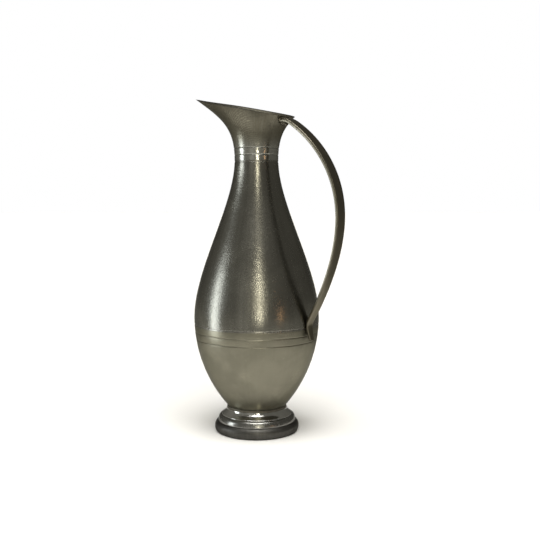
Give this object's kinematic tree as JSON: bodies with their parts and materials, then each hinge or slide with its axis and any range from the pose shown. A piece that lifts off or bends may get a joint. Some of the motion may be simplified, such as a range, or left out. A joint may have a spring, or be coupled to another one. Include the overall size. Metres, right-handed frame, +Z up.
{
  "type": "water pitcher",
  "caption": "Tall pear-shaped metal ewer with a flared, obliquely cut pouring mouth, incised rings, a spun stepped foot and a bowed strap handle.",
  "frame": {"origin": "centre of the foot on the table", "axes": "+Z up along the axis of the body, +X towards the handle, spout towards -X; the ewer is mirror-symmetric about the XZ plane"},
  "size_m": [0.1366, 0.104, 0.278],
  "materials": {
    "mouth_pewter": "matt olive patina on pewter, brighter turned bands at the neck rings",
    "shoulder_pewter": "semi-polished pewter with fine scratches and a grainy surface",
    "bowl_pewter": "satin pewter",
    "foot_pewter": "polished pewter",
    "base_pewter": "darkened matt pewter",
    "handle_pewter": "lengthwise brushed pewter",
    "solder": "dull solder",
    "seam_solder": "bright turned solder line"
  },
  "bodies": {
    "root": {"flared_mouth": "mouth_pewter", "shoulder_shell": "shoulder_pewter", "bowl_shell": "bowl_pewter", "foot_pedestal": "foot_pewter", "base_ring": "base_pewter", "handle": "handle_pewter", "handle_top_solder": "solder", "handle_heel_solder": "solder", "neck_seam_solder": "seam_solder", "belly_seam_solder": "seam_solder", "waist_seam_solder": "solder", "base_seam_solder": "solder"}
  },
  "joints": []
}
